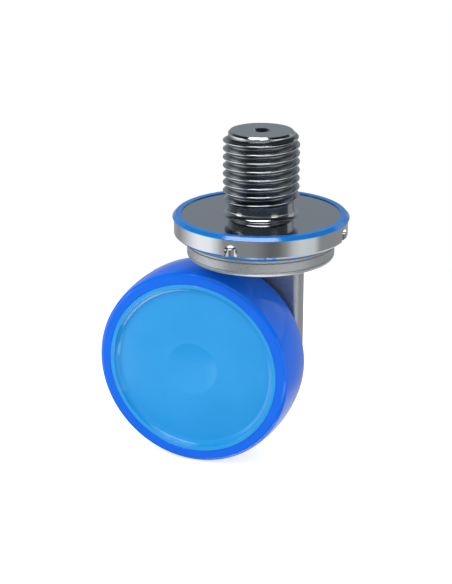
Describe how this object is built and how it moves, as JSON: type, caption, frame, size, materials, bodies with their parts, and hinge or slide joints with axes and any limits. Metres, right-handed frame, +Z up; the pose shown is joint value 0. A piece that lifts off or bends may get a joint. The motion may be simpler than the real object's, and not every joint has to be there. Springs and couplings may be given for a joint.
{
  "type": "castor wheel",
  "caption": "Swivel castor wheel: threaded stem on a round flange, bearing housing, a single side arm, and a closed wheel with a blue tyre and a recessed light blue face.",
  "frame": {"origin": "middle of the mounting flange's top face, on the swivel axis", "axes": "+Z up along the threaded stem; the wheel trails towards -X, its recessed face looks along -Y and the arm stands at +Y"},
  "size_m": [0.1219, 0.0896, 0.1685],
  "materials": {
    "stem_steel": "dark, satin",
    "polished_steel": "turned and polished",
    "blasted_steel": "bead blasted",
    "plain_steel": "satin",
    "bearing_steel": "ground",
    "cage_brass": "satin",
    "seal_blue": "smooth",
    "tyre_blue": "smooth, glossy",
    "face_blue": "smooth, glossy"
  },
  "bodies": {
    "head": {"stud": "stem_steel", "flange": "polished_steel", "flange_seal": "seal_blue", "swivel_inner_ring": "bearing_steel", "spindle_lock_washer": "plain_steel", "spindle_lock_nut": "plain_steel"},
    "fork": {"swivel_housing": "blasted_steel", "swivel_seal": "seal_blue", "swivel_outer_ring": "bearing_steel", "swivel_balls": "bearing_steel", "swivel_cage": "cage_brass", "side_arm": "blasted_steel", "axle": "plain_steel", "axle_nut": "polished_steel", "axle_nut_seal": "seal_blue", "arm_spacer": "plain_steel", "bearing_spacer": "plain_steel", "wheel_inner_ring_front": "bearing_steel", "wheel_inner_ring_back": "bearing_steel", "hub_seal": "seal_blue"},
    "wheel": {"tread": "tyre_blue", "wheel_core": "face_blue", "wheel_cover": "face_blue", "cover_seal": "seal_blue", "wheel_outer_ring_front": "bearing_steel", "wheel_outer_ring_back": "bearing_steel", "wheel_balls_front": "bearing_steel", "wheel_balls_back": "bearing_steel", "wheel_cage_front": "cage_brass", "wheel_cage_back": "cage_brass", "hub_snap_ring": "plain_steel"}
  },
  "joints": [
    {"name": "swivel", "type": "hinge", "parent": "head", "child": "fork", "pos_m": [0, 0, 0], "axis": [0, 0, 1], "continuous": true},
    {"name": "wheel_spin", "type": "hinge", "parent": "fork", "child": "wheel", "pos_m": [-0.0302, 0, -0.0785], "axis": [0, 1, 0], "continuous": true}
  ]
}
